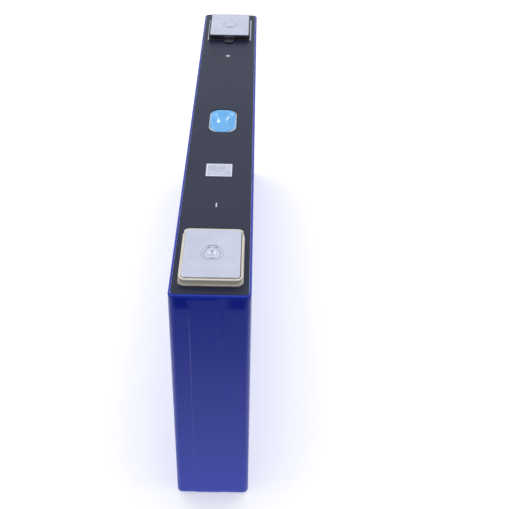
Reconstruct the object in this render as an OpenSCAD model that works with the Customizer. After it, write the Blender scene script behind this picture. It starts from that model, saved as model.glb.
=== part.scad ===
// Prismatic lithium-ion cell: a drawn can with a welded lid, two riveted terminals
// and a burst vent, wrapped in film, with two wound cores and their tabs inside.
// X runs across the thickness, Y along the length with the negative terminal at -Y, Z up.
// The origin is the middle of the underside.

/* [Cell] */
// Length over the film wrap, end to end
cell_l = 220; // [180:1:300]
// Thickness over the film wrap, between the two large faces
cell_w = 27.4; // [25:0.1:60]
// Height from the floor to the upper face of the cover sheet
body_h = 102.5; // [70:0.5:220]

/* [Can and lid] */
// Radius of the can's upright corners
can_corner_r = 1.8; // [1.4:0.1:4]
// Thickness of the can's side walls
can_wall = 0.6; // [0.4:0.05:1]
// Thickness of the can's floor
can_floor = 1; // [0.6:0.1:2]
// Thickness of the lid plate
lid_t = 2; // [1.8:0.1:3]

/* [Film and sheets] */
// Thickness of one layer of the wrap
film_t = 0.2; // [0.1:0.05:0.4]
// Width of the wrap folded over the lid's rim
film_lip = 0.8; // [0.4:0.1:1.1]
// Width of the wrap folded under the can's floor
film_hem = 6; // [3:0.5:10]
// Distance from the middle plane to the outer end flap's edge, on the -X side
outer_flap_x = 6.8; // [2:0.1:10]
// Distance from the middle plane to the inner end flap's edge, on the +X side
inner_flap_x = 2.8; // [1:0.1:10]
// Thickness of the sheet under the cell
bottom_sheet_t = 0.3; // [0.2:0.05:0.6]
// Thickness of the cover sheet on the lid
cover_t = 0.3; // [0.2:0.05:0.6]
// Corner radius of the cover sheet
cover_corner_r = 1.2; // [0.4:0.1:3]

/* [Terminals] */
// Width of a terminal plate, across the cell
plate_w = 19.4; // [14:0.1:21]
// Length of a terminal plate, along the cell
plate_l = 25; // [18:0.5:36]
// Corner radius of a terminal plate
plate_corner_r = 1.3; // [0.5:0.1:3]
// Thickness of a terminal plate
plate_t = 2; // [1:0.1:3]
// Height of a terminal plate's face above the cover sheet
plate_rise = 2.8; // [2.6:0.1:5]
// Distance from a plate's centre to the cell's end
plate_from_end = 18.65; // [17:0.05:40]
// Diameter of the pole's neck, which shows in the plate
neck_d = 5.6; // [3:0.1:8]
// Diameter of the ring groove around the neck
groove_d = 6.9; // [6:0.1:10]
// Depth of the ring groove
groove_depth = 0.15; // [0.1:0.05:0.6]
// Diameter of the pole's shaft through the lid
shaft_d = 8.4; // [6:0.1:10]
// Diameter of the pole's foot under the lid
pole_foot_d = 15.4; // [12:0.1:18]

/* [Seats and seals] */
// Clearance between a plate and its seat
plate_gap = 0.2; // [0.1:0.05:0.4]
// Thickness of a seat's wall
seat_wall = 0.45; // [0.4:0.05:1]
// How far the rim of the negative seat stands out from its wall
rim_ledge = 0.35; // [0.1:0.05:0.8]
// How far the rim lies below the plate's face
rim_drop = 0.3; // [0.1:0.05:0.8]
// Height of the rim's band
rim_band = 0.6; // [0.3:0.05:1]
// How far a seat's foot stands out from its wall
foot_ledge = 0.55; // [0.3:0.05:1]
// Height of a seat's foot above the lid
foot_h = 0.8; // [0.5:0.05:1.2]
// Length of the corners stepped in at the vent end of a seat
corner_step_l = 3.2; // [1:0.1:6]
// Width of the tongue on the positive seat
tongue_w = 4.6; // [3:0.1:8]
// Length of the tongue on the positive seat
tongue_l = 3.2; // [2.5:0.1:6]
// Thickness of a seal's sleeve in the lid
seal_wall = 1.2; // [0.8:0.05:2]
// Thickness of a seal's flange under the lid
seal_flange_t = 1; // [0.5:0.1:1.5]

/* [Vent and filling hole] */
// Width of the window in the cover sheet
window_w = 11.5; // [8:0.1:16]
// Length of the window in the cover sheet
window_l = 18.9; // [12:0.1:30]
// Corner radius of the window
window_r = 4.2; // [2:0.1:5]
// Width of the bare lid left around the vent's film
vent_margin = 0.55; // [0.3:0.05:1]
// Thickness of the vent's film
vent_film_t = 0.15; // [0.1:0.05:0.3]
// Thickness of the burst disc
vent_disc_t = 0.4; // [0.2:0.05:0.6]
// Distance from the middle to the filling hole
fill_y = 30; // [20:0.5:45]
// Diameter of the filling hole
fill_d = 3; // [2:0.1:4]
// Diameter of the disc that seals the filling hole
fill_disc_d = 8; // [6:0.1:10]

/* [Marks] */
// Width of the code label, across the cell
label_w = 10.2; // [5:0.1:20]
// Length of the code label, along the cell
label_l = 8.6; // [5:0.1:20]
// Distance from the middle to the code label
label_y = 37.8; // [20:0.1:60]
// Distance from a terminal's centre to its polarity mark
mark_from_plate = 30.65; // [18:0.05:45]
// Length of a mark's stroke
mark_l = 2.4; // [1:0.1:6]
// Width of a mark's stroke
mark_stroke = 0.5; // [0.3:0.05:2]
// Thickness of the label and the marks
print_t = 0.1; // [0.05:0.05:0.2]

/* [Inside] */
// Thickness of the insulators under the lid
insulator_t = 2.5; // [2:0.1:4]
// Height left for the foil tabs between the insulators and the cores
tab_space = 3.4; // [3.2:0.1:3.9]
// Thickness of the copper collector
copper_t = 0.8; // [0.5:0.1:1]
// Thickness of the aluminium collector
aluminium_t = 1.2; // [0.8:0.1:1.4]
// Width of both collectors
collector_w = 20; // [16:0.5:22]
// Length of both collectors
collector_l = 68; // [60:1:75]
// Thickness of a stack of foil tabs
tab_t = 0.5; // [0.3:0.05:0.6]
// Length of a stack of foil tabs along the cell
tab_l = 42; // [20:1:45]
// Thickness of the insulating bag
bag_t = 0.15; // [0.1:0.05:0.3]
// Thickness of the support plate under the cores
support_t = 0.6; // [0.4:0.1:1]
// Thickness of the tapes
tape_t = 0.1; // [0.05:0.05:0.15]
// Height of the tape that closes each core
core_tape_h = 30; // [10:1:50]

/* [Hidden] */
$fn = 48;

fit_gap = 0.02;             // play of a pressed or moulded fit
slip_gap = 0.1;             // play between pieces that slide together
end_gap = 0.6;              // play at the two ends of the cores
cut = 1;                    // how far a cutting tool runs past a face

// Outlines, from the film inwards
can_w = cell_w - 2 * film_t;
can_l = cell_l - 4 * film_t;
wrap_l = can_l + 2 * film_t;
wrap_r = can_corner_r + film_t;
cavity_w = can_w - 2 * can_wall;
cavity_l = can_l - 2 * can_wall;
cavity_r = can_corner_r - can_wall;
cover_w = cell_w - 2 * (film_lip + slip_gap);
cover_l = wrap_l - 2 * (film_lip + slip_gap);

// Levels, from the floor up
can_z = bottom_sheet_t + film_t;
cavity_z = can_z + can_floor;
lid_top = body_h - cover_t;
lid_under = lid_top - lid_t;
insulator_under = lid_under - insulator_t;
pole_foot_top = lid_under - seal_flange_t;
core_top = insulator_under - tab_space;
plate_top = body_h + plate_rise;
plate_under = plate_top - plate_t;
rim_top = plate_top - rim_drop;

// Terminals and seats
terminal_y = cell_l / 2 - plate_from_end;
seat_w = plate_w + 2 * (plate_gap + seat_wall);
seat_l = plate_l + 2 * (plate_gap + seat_wall);
seat_r = plate_corner_r + plate_gap + seat_wall;
foot_l = seat_l + 2 * foot_ledge;
foot_w = seat_w + 2 * foot_ledge;
tongue_gap = 0.3;           // bare lid around the tongue
notch_w = tongue_w + 2 * tongue_gap;
notch_depth = 1.3;
plate_chamfer = 0.25;
dimple_d = 3;
dimple_depth = 0.8;
label_r = 0.3;
seal_d = shaft_d + 2 * (fit_gap + seal_wall);
lid_bore_d = seal_d + 2 * fit_gap;

// Vent: the film, the opening under it and the ledge that holds the disc
vent_film_w = window_w - 2 * vent_margin;
vent_film_l = window_l - 2 * vent_margin;
vent_film_r = window_r - vent_margin;
vent_inset = 0.8;           // from the film's edge to the opening in the lid
vent_ledge = 0.9;           // width of the ledge that the disc is welded to
score_inset = 1;            // from the opening's edge to the scored line
score_w = 0.4;
score_depth = vent_disc_t / 2;

// Filling hole
plug_head_d = 5;
plug_head_t = 0.6;
fill_disc_t = 0.8;
fill_well = plug_head_t + fill_disc_t;

// Inside pieces
bag_w = cavity_w - 2 * slip_gap;
bag_l = cavity_l - 2 * slip_gap;
bag_r = cavity_r - slip_gap;
bag_inner_w = bag_w - 2 * bag_t;
bag_inner_l = bag_l - 2 * bag_t;
bag_inner_r = bag_r - bag_t;
insulator_w = bag_inner_w - slip_gap;
insulator_l = bag_inner_l - slip_gap;
insulator_split = vent_film_l / 2 + 4;   // where the two insulators meet, past the vent
grille_pitch = 3;
grille_slot_w = 1.6;
grille_slots = floor((vent_film_l - 2 * vent_inset) / grille_pitch);
bag_overlap = 1.3;          // how far the bag reaches up the insulators
support_z = cavity_z + bag_t;
core_z = support_z + support_t;
core_w = (bag_inner_w - 4 * tape_t - 3 * slip_gap) / 2;
core_l = bag_inner_l - 2 * (end_gap + tape_t);
core_x = (core_w + slip_gap) / 2 + tape_t;
support_hole_d = 4;
support_pitch = 20;
support_holes = floor(core_l / support_pitch);
windings = 5;               // grooves that show the layers at a core's ends
winding_groove = 0.3;
slit_w = 0.4;
collector_outboard = 9;     // from the pole's axis to the collector's outer end
collector_r = 1.5;
neck_notch_r = 1.5;
tab_end_gap = 2;            // from the tabs to the collector's inner end
tab_y = collector_l - collector_outboard - tab_l / 2 - tab_end_gap;
tab_riser_x = core_x + 2;
tab_tip_x = 1.5;
tab_bend_r = 1;
weld_tape_l = tab_l + 2 * tab_end_gap;

film_blue = [0.2, 0.24, 0.55];
sheet_black = [0.2, 0.2, 0.24];
bare_metal = [0.8, 0.81, 0.83];
plate_metal = [0.82, 0.83, 0.86];
copper = [0.75, 0.43, 0.28];
cream = [0.85, 0.83, 0.74];
moulded_black = [0.07, 0.07, 0.08];
print_white = [0.88, 0.89, 0.92];
vent_blue = [0.35, 0.68, 0.95];
seal_green = [0.25, 0.3, 0.22];
separator_white = [0.86, 0.86, 0.82];
tape_green = [0.3, 0.6, 0.42];
clear_film = [0.75, 0.82, 0.88];

// Rectangle with round corners
module outline(w, l, r) {
    square([w - 2 * r, l], center = true);
    square([w, l - 2 * r], center = true);
    for (x = [-1, 1], y = [-1, 1])
        translate([x * (w / 2 - r), y * (l / 2 - r)]) circle(r = r);
}

// Upright block on such a rectangle, between two levels
module block(w, l, r, from, to) {
    translate([0, 0, from]) linear_extrude(to - from) outline(w, l, r);
}

// Long outline with fully round ends
module racetrack(w, l) {
    square([w, l - w], center = true);
    for (y = [-1, 1]) translate([0, y * (l - w) / 2]) circle(d = w);
}

// Line of a given width along such an outline
module track_ring(w, l, line_w) difference() {
    racetrack(w + line_w, l + line_w);
    racetrack(w - line_w, l - line_w);
}

module round_bar(d, from, to) {
    translate([0, 0, from]) cylinder(d = d, h = to - from);
}

// Block whose edge follows a section: x out from the corner's axis, y the level
module edged_block(w, l, r, from, to, chamfer) {
    section = [[0, from], [r, from], [r, to - chamfer], [r - chamfer, to], [0, to]];
    translate([0, 0, (from + to) / 2]) cube([w - 2 * r, l - 2 * r, to - from], center = true);
    for (turn = [0:3]) {
        across = turn % 2 == 0 ? w : l;
        along = turn % 2 == 0 ? l : w;
        rotate(90 * turn) translate([across / 2 - r, along / 2 - r, 0]) {
            rotate_extrude(angle = 90) polygon(section);
            rotate([90, 0, 0]) linear_extrude(along - 2 * r) polygon(section);
        }
    }
}

// The children are drawn about a terminal's axis with the vent towards +Y
module at_negative() { translate([0, -terminal_y, 0]) children(); }
module at_positive() { translate([0, terminal_y, 0]) rotate(180) children(); }

module case_can() color(bare_metal) difference() {
    block(can_w, can_l, can_corner_r, can_z, lid_top);
    block(cavity_w, cavity_l, cavity_r, cavity_z, lid_top + cut);
}

module lid_plate() color(bare_metal) difference() {
    block(cavity_w, cavity_l, cavity_r, lid_under, lid_top);
    at_negative() round_bar(lid_bore_d, lid_under - cut, lid_top + cut);
    at_positive() round_bar(lid_bore_d, lid_under - cut, lid_top + cut);
    vent_opening(vent_inset, lid_under - cut, lid_top + cut);
    vent_opening(vent_inset - vent_ledge + slip_gap, lid_under - cut, lid_under + vent_disc_t);
    translate([0, fill_y, 0]) {
        round_bar(fill_d + 2 * fit_gap, lid_under - cut, lid_top + cut);
        round_bar(fill_disc_d + 2 * fit_gap, lid_top - fill_well, lid_top + cut);
    }
}

// The vent film's outline drawn in by an inset
module vent_opening(inset, from, to) {
    block(vent_film_w - 2 * inset, vent_film_l - 2 * inset, vent_film_r - inset, from, to);
}

// One sheet: walls, the lip on the lid, the hem under the can and the lapped end flaps
module film_wrap() color(film_blue) {
    film_top = lid_top + film_t;
    lip_w = cell_w - 2 * film_lip;
    lip_l = wrap_l - 2 * film_lip;
    difference() {
        block(cell_w, wrap_l, wrap_r, bottom_sheet_t, film_top);
        block(can_w, can_l, can_corner_r, can_z, lid_top);
        block(lip_w, lip_l, wrap_r - film_lip, can_z, film_top + cut);
        block(cell_w - 2 * film_hem, wrap_l - 2 * film_hem, can_corner_r, 0, can_z + cut);
    }
    for (y = [-wrap_l / 2 - film_t, wrap_l / 2])
        translate([-outer_flap_x, y, bottom_sheet_t])
            cube([outer_flap_x + inner_flap_x, film_t, film_top - bottom_sheet_t]);
}

module bottom_sheet() color(film_blue)
    block(can_w - 2 * slip_gap, can_l - 2 * slip_gap, can_corner_r, 0, bottom_sheet_t);

module cover_sheet() color(sheet_black) difference() {
    block(cover_w, cover_l, cover_corner_r, lid_top, body_h);
    block(window_w, window_l, window_r, lid_top - cut, body_h + cut);
    at_negative() seat_cutout();
    at_positive() {
        seat_cutout();
        translate([0, 0, lid_top - cut]) linear_extrude(cover_t + 2 * cut) tongue_outline(tongue_gap);
    }
}

module seat_cutout() {
    block(foot_w + slip_gap, foot_l + slip_gap, seat_r, lid_top - cut, body_h + cut);
}

// Tongue that reaches from under the seat towards the vent, grown by a margin
module tongue_outline(margin) {
    w = tongue_w + 2 * margin;
    tip = seat_l / 2 + foot_ledge + tongue_l + margin;
    translate([-w / 2, seat_l / 2 - seat_wall]) square([w, tip - w / 2 - seat_l / 2 + seat_wall]);
    translate([0, tip - w / 2]) circle(d = w);
}

module code_label() color(print_white)
    translate([0, -label_y, 0]) block(label_w, label_l, label_r, body_h, body_h + print_t);

module mark_bar(along) {
    size = along ? [mark_stroke, mark_l] : [mark_l, mark_stroke];
    translate([0, mark_from_plate]) square(size, center = true);
}

module minus_mark() color(print_white)
    at_negative() translate([0, 0, body_h]) linear_extrude(print_t) mark_bar(true);

module plus_mark() color(print_white)
    at_positive() translate([0, 0, body_h]) linear_extrude(print_t) {
        mark_bar(true);
        mark_bar(false);
    }

module vent_film() color(vent_blue) vent_opening(0, lid_top, lid_top + vent_film_t);

// Thin disc welded under the lid, with a scored line where it tears
module vent_disc() color(bare_metal) difference() {
    vent_opening(vent_inset - vent_ledge + 2 * slip_gap, lid_under, lid_under + vent_disc_t);
    difference() {
        vent_opening(vent_inset + score_inset, lid_under + score_depth, lid_under + vent_disc_t + cut);
        vent_opening(vent_inset + score_inset + score_w, 0, lid_top);
    }
}

module fill_plug() color(moulded_black) translate([0, fill_y, 0]) {
    round_bar(plug_head_d, lid_top - fill_well, lid_top - fill_disc_t);
    round_bar(fill_d, lid_under, lid_top - fill_disc_t);
}

module fill_seal_disc() color(bare_metal)
    translate([0, fill_y, 0]) round_bar(fill_disc_d, lid_top - fill_disc_t, lid_top);

module terminal_plate() difference() {
    edged_block(plate_w, plate_l, plate_corner_r, plate_under, plate_top, plate_chamfer);
    round_bar(neck_d + 2 * fit_gap, plate_under - cut, plate_top + cut);
    round_bar(groove_d, plate_top - groove_depth, plate_top + cut);
}

module negative_terminal_plate() color(plate_metal) at_negative() terminal_plate();
module positive_terminal_plate() color(plate_metal) at_positive() terminal_plate();

// Foot, shaft and neck in one turned piece, with a dimple in the riveted end
module pole() difference() {
    union() {
        round_bar(pole_foot_d, insulator_under, pole_foot_top);
        round_bar(shaft_d, insulator_under, plate_under);
        round_bar(neck_d, insulator_under, plate_top);
    }
    translate([0, 0, plate_top - dimple_depth]) cylinder(d1 = 0, d2 = dimple_d, h = dimple_depth);
}

module negative_pole() color(copper) at_negative() pole();
module positive_pole() color(plate_metal) at_positive() pole();

// Tray under a terminal plate; its wall, foot and rim each have their own width
module seat(foot_width, rim) difference() {
    union() {
        block(seat_w, seat_l, seat_r, lid_top, rim_top);
        block(foot_width, foot_l, seat_r, lid_top, lid_top + foot_h);
        block(seat_w + 2 * rim, seat_l + 2 * rim, seat_r + rim, rim_top - rim_band, rim_top);
    }
    block(plate_w + 2 * plate_gap, plate_l + 2 * plate_gap, plate_corner_r + plate_gap,
        plate_under, rim_top + cut);
    round_bar(shaft_d + 2 * slip_gap, lid_top - cut, rim_top + cut);
    for (x = [-1, 1])
        translate([x * (seat_w / 2 + foot_w / 2), foot_l / 2, (lid_top + rim_top) / 2])
            cube([foot_w, 2 * corner_step_l, rim_top - lid_top + 2 * cut], center = true);
}

module negative_seat() color(cream) at_negative() seat(foot_w, rim_ledge);

module positive_seat() color(moulded_black) at_positive() {
    difference() {
        seat(seat_w, 0);
        translate([-notch_w / 2, plate_l / 2, rim_top - notch_depth])
            cube([notch_w, foot_l, notch_depth + cut]);
    }
    translate([0, 0, lid_top]) linear_extrude(foot_h + cover_t) tongue_outline(0);
}

// Rubber sleeve in the lid with a flange pressed between the lid and the pole's foot
module seal() difference() {
    union() {
        round_bar(pole_foot_d, pole_foot_top, lid_under);
        round_bar(seal_d, pole_foot_top, lid_top);
    }
    round_bar(shaft_d + 2 * fit_gap, pole_foot_top - cut, lid_top + cut);
}

module negative_seal() color(seal_green) at_negative() seal();
module positive_seal() color(seal_green) at_positive() seal();

// Length of the moulded plate under the lid that lies between two places along the cell
module insulator(y_from, y_to) intersection() {
    block(insulator_w, insulator_l, bag_inner_r, insulator_under, lid_under);
    translate([-cell_w / 2, y_from, insulator_under - cut])
        cube([cell_w, y_to - y_from, insulator_t + 2 * cut]);
}

module insulator_bore() round_bar(pole_foot_d + 4 * slip_gap, insulator_under - cut, lid_under + cut);

// Has the grille under the vent, so that gas reaches the disc and the cores do not
module negative_insulator() color(moulded_black) difference() {
    insulator(-cell_l / 2, insulator_split);
    at_negative() insulator_bore();
    for (i = [0:grille_slots - 1])
        translate([0, (i - (grille_slots - 1) / 2) * grille_pitch, lid_under - insulator_t / 2])
            cube([vent_film_w - 2 * vent_inset, grille_slot_w, insulator_t + 2 * cut], center = true);
}

module positive_insulator() color(moulded_black) difference() {
    insulator(insulator_split + slip_gap, cell_l / 2);
    at_positive() insulator_bore();
    translate([0, fill_y, 0]) round_bar(plug_head_d, insulator_under - cut, lid_under + cut);
}

// Flat strip from the pole's foot to the tabs, drawn in to a narrow neck between them
module collector(thickness) {
    neck_y = pole_foot_d / 2 + neck_notch_r;
    difference() {
        translate([0, collector_l / 2 - collector_outboard, 0])
            block(collector_w, collector_l, collector_r, insulator_under - thickness, insulator_under);
        for (x = [-1, 1])
            translate([x * collector_w / 2, neck_y, 0])
                round_bar(2 * neck_notch_r, insulator_under - thickness - cut, insulator_under + cut);
    }
}

module negative_collector() color(copper) at_negative() collector(copper_t);
module positive_collector() color(plate_metal) at_positive() collector(aluminium_t);

// Stack of foils that rises from a core and bends flat under the collector; side is -1 or 1
module foil_tab(side, top) {
    axis_x = tab_riser_x + tab_t / 2 - tab_bend_r;
    mirror([side < 0 ? 1 : 0, 0, 0])
        translate([0, tab_y, 0]) rotate([90, 0, 0]) linear_extrude(tab_l, center = true) {
            translate([tab_riser_x - tab_t / 2, core_top]) square([tab_t, top - tab_bend_r - core_top]);
            translate([tab_tip_x, top - tab_t]) square([axis_x - tab_tip_x, tab_t]);
            translate([axis_x, top - tab_bend_r]) intersection() {
                difference() {
                    circle(r = tab_bend_r);
                    circle(r = tab_bend_r - tab_t);
                }
                square(tab_bend_r);
            }
        }
}

module negative_tab_left() color(copper) at_negative() foil_tab(-1, insulator_under - copper_t);
module negative_tab_right() color(copper) at_negative() foil_tab(1, insulator_under - copper_t);
module positive_tab_left() color(bare_metal) at_positive() foil_tab(1, insulator_under - aluminium_t);
module positive_tab_right() color(bare_metal) at_positive() foil_tab(-1, insulator_under - aluminium_t);

// Tape across the welds, under the flat ends of both tabs
module weld_tape(top) {
    w = 2 * (tab_riser_x - tab_bend_r);
    translate([-w / 2, tab_y - weld_tape_l / 2, top - tape_t]) cube([w, weld_tape_l, tape_t]);
}

module negative_weld_tape() color(tape_green)
    at_negative() weld_tape(insulator_under - copper_t - tab_t);
module positive_weld_tape() color(tape_green)
    at_positive() weld_tape(insulator_under - aluminium_t - tab_t);

// Electrodes and separators wound flat round a slit; grooves at both ends show the layers
module wound_core(side) {
    step = core_w / 2 / (windings + 1);
    translate([side * core_x, 0, 0]) difference() {
        translate([0, 0, core_z]) linear_extrude(core_top - core_z) racetrack(core_w, core_l);
        translate([-slit_w / 2, -(core_l - core_w) / 2, core_z - cut])
            cube([slit_w, core_l - core_w, core_top - core_z + 2 * cut]);
        for (level = [core_z - cut, core_top - winding_groove], turn = [1:windings])
            translate([0, 0, level]) linear_extrude(winding_groove + cut)
                track_ring(core_w - 2 * turn * step, core_l - 2 * turn * step, winding_groove);
    }
}

module wound_core_left() color(separator_white) wound_core(-1);
module wound_core_right() color(separator_white) wound_core(1);

// Band that closes the last turn of a core
module core_tape(side) {
    translate([side * core_x, 0, (core_z + core_top - core_tape_h) / 2]) linear_extrude(core_tape_h)
        track_ring(core_w + tape_t, core_l + tape_t, tape_t);
}

module core_tape_left() color(tape_green) core_tape(-1);
module core_tape_right() color(tape_green) core_tape(1);

module insulating_bag() color(clear_film) difference() {
    block(bag_w, bag_l, bag_r, cavity_z, insulator_under + bag_overlap);
    block(bag_inner_w, bag_inner_l, bag_inner_r, support_z, insulator_under + bag_overlap + cut);
}

// Plate that keeps the cores off the bag's seams, with holes for the electrolyte
module support_plate() color(moulded_black) difference() {
    block(insulator_w, insulator_l, bag_inner_r, support_z, core_z);
    for (i = [0:support_holes - 1], x = [-1, 1])
        translate([x * core_x, (i - (support_holes - 1) / 2) * support_pitch, 0])
            round_bar(support_hole_d, support_z - cut, core_z + cut);
}

case_can();
lid_plate();
film_wrap();
bottom_sheet();
cover_sheet();
code_label();
plus_mark();
minus_mark();
vent_film();
vent_disc();
fill_plug();
fill_seal_disc();
negative_terminal_plate();
negative_pole();
negative_seat();
negative_seal();
positive_terminal_plate();
positive_pole();
positive_seat();
positive_seal();
negative_insulator();
positive_insulator();
negative_collector();
positive_collector();
negative_tab_left();
negative_tab_right();
positive_tab_left();
positive_tab_right();
negative_weld_tape();
positive_weld_tape();
wound_core_left();
wound_core_right();
core_tape_left();
core_tape_right();
insulating_bag();
support_plate();
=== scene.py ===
"""Prismatic battery cell: the looks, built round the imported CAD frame.

Everything is in metres in the CAD's own frame: X runs across the thickness, Y along the length with the
negative terminal at its low end, Z up, and the origin lies in the middle of the underside.
New pieces are surfaces worked out with numpy: rows of points, one row per step of a section, each row a
walk round a rounded rectangle or a circle.
"""

import math

import bpy
import numpy as np
from mathutils import Matrix, Vector


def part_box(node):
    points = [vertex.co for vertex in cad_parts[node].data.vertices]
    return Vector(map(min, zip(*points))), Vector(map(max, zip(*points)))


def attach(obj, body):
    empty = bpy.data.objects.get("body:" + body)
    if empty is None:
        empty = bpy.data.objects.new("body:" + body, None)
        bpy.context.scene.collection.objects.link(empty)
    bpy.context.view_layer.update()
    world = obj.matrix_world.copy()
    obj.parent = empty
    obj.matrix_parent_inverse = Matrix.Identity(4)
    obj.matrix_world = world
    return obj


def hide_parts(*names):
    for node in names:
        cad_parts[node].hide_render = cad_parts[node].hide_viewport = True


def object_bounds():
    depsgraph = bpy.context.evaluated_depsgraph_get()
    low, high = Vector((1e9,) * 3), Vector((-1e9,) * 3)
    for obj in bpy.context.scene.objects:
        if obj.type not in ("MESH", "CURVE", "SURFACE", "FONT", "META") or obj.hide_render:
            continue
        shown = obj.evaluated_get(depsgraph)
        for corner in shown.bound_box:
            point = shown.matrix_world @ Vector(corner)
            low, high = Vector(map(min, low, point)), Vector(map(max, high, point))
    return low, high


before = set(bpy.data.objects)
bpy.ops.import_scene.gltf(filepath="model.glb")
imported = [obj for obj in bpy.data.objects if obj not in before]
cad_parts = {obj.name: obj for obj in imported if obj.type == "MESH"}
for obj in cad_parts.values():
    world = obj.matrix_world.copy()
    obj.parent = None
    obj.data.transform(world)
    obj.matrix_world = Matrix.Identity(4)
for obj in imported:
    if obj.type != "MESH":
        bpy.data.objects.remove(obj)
CAD_LOW, CAD_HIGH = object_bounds()

bl_info = {
    "name": "Prismatic battery cell",
    "version": (1, 0, 0),
    "blender": (4, 5, 0),
    "location": "View3D > Sidebar > Battery cell",
    "description": "Builds the film, terminals, seats, vent and finishes of a prismatic battery cell",
    "category": "Object",
}

MM = 0.001
FULL_TURN = 2 * math.pi
LEAST_RADIUS = 0.02 * MM
SQUARE_ON = 0.01  # radians within which a place looks straight out of its side
WAVE_NODE_FACTOR = 20.0  # the Wave Texture multiplies its coordinate by this before taking the sine


def box(node):
    """Lowest corner, highest corner and middle of a CAD node, as arrays."""
    low, high = (np.array(corner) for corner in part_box(node))
    return low, high, (low + high) / 2


def linear(code):
    """Scene-linear colour of an sRGB hex code: each channel is undone by the sRGB curve."""
    channels = [int(code[i : i + 2], 16) / 255 for i in (1, 3, 5)]
    return tuple(c / 12.92 if c <= 0.04045 else ((c + 0.055) / 1.055) ** 2.4 for c in channels)


# ---------------------------------------------------------------- surfaces


def walk(run_x, run_y, arc_steps):
    """Places round a rounded rectangle, anticlockwise from its +X side.

    A place has a share of the way to the corners' axes in x and in y, from -1 to 1, and the angle it looks
    in: fixed along a side, turning a quarter at a corner.
    """
    arc = np.linspace(0.0, math.pi / 2, arc_steps + 1)
    legs = (
        (1.0, run_y, 0.0),
        (1.0, 1.0, arc),
        (run_x[::-1], 1.0, math.pi / 2),
        (-1.0, 1.0, arc + math.pi / 2),
        (-1.0, run_y[::-1], math.pi),
        (-1.0, -1.0, arc + math.pi),
        (run_x, -1.0, 1.5 * math.pi),
        (1.0, -1.0, arc + 1.5 * math.pi),
    )
    legs = [np.broadcast_arrays(*(np.atleast_1d(np.asarray(part, float)) for part in leg)) for leg in legs]
    return [np.concatenate([leg[i] for leg in legs]) for i in range(3)]


def even_run(count):
    """Shares at even steps between two corners' axes, without the ends."""
    return np.linspace(-1.0, 1.0, count + 2)[1:-1]


def rounded_rows(places, size, offset, radius, height, centre=(0.0, 0.0)):
    """Rows of points: the rectangle grows by the offset on every side and its corners' radius with it.

    x is the share of the half width less the radius, plus the radius times the cosine of the angle; y
    likewise with the sine.
    """
    share_x, share_y, angle = places
    offset, height = (np.asarray(v, float)[:, None] for v in np.broadcast_arrays(offset, height))
    turn = np.maximum(radius + offset, LEAST_RADIUS)
    x = centre[0] + share_x * (size[0] / 2 + offset - turn) + turn * np.cos(angle)
    y = centre[1] + share_y * (size[1] / 2 + offset - turn) + turn * np.sin(angle)
    return np.stack(np.broadcast_arrays(x, y, height), axis=-1)


def ring_rows(towards, radius, height, centre=(0.0, 0.0)):
    """Rows of points on circles: a radius in each place's direction, at a height."""
    radius, height = (np.asarray(v, float)[:, None] for v in np.broadcast_arrays(radius, height))
    x = centre[0] + radius * towards[:, 0]
    y = centre[1] + radius * towards[:, 1]
    return np.stack(np.broadcast_arrays(x, y, height), axis=-1)


def round_the_clock(count):
    """Unit vectors at even angles round a circle."""
    angle = np.linspace(0, FULL_TURN, count, endpoint=False)
    return np.stack([np.cos(angle), np.sin(angle)], axis=-1)


def directions(row, centre=(0.0, 0.0)):
    """Unit vectors from a centre to the places of a row."""
    away = row[:, :2] - np.array(centre)
    return away / np.linalg.norm(away, axis=1, keepdims=True)


def round_corners(corners, steps=3, closed=True):
    """Section with arcs at its corners: each is (out, up, radius), and its arc touches both its sides.

    The arc's centre lies on the corner's bisector at radius / sin(half angle), and the arc is a spherical
    blend of the two spokes to the touching points.
    """
    corners = [np.array(corner, float) for corner in corners]
    points = []
    for i, corner in enumerate(corners):
        point, radius = corner[:2], corner[2]
        if radius <= 0 or (not closed and i in (0, len(corners) - 1)):
            points.append(point[None])
            continue
        before = corners[i - 1][:2] - point
        after = corners[(i + 1) % len(corners)][:2] - point
        before, after = before / np.linalg.norm(before), after / np.linalg.norm(after)
        half = math.acos(float(np.clip(before @ after, -1, 1))) / 2
        bisector = (before + after) / np.linalg.norm(before + after)
        middle = point + bisector * radius / math.sin(half)
        reach = radius / math.tan(half)
        spoke_in, spoke_out = point + before * reach - middle, point + after * reach - middle
        turn = math.pi - 2 * half
        share = np.linspace(0.0, 1.0, steps + 1)[:, None]
        arc = (np.sin((1 - share) * turn) * spoke_in + np.sin(share * turn) * spoke_out) / math.sin(turn)
        points.append(middle + arc)
    return np.concatenate(points)


def step_up(value, start, width):
    """0 before start, 1 after start + width, and a smooth rise between: 3t^2 - 2t^3."""
    t = np.clip((value - start) / width, 0.0, 1.0)
    return t * t * (3 - 2 * t)


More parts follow.
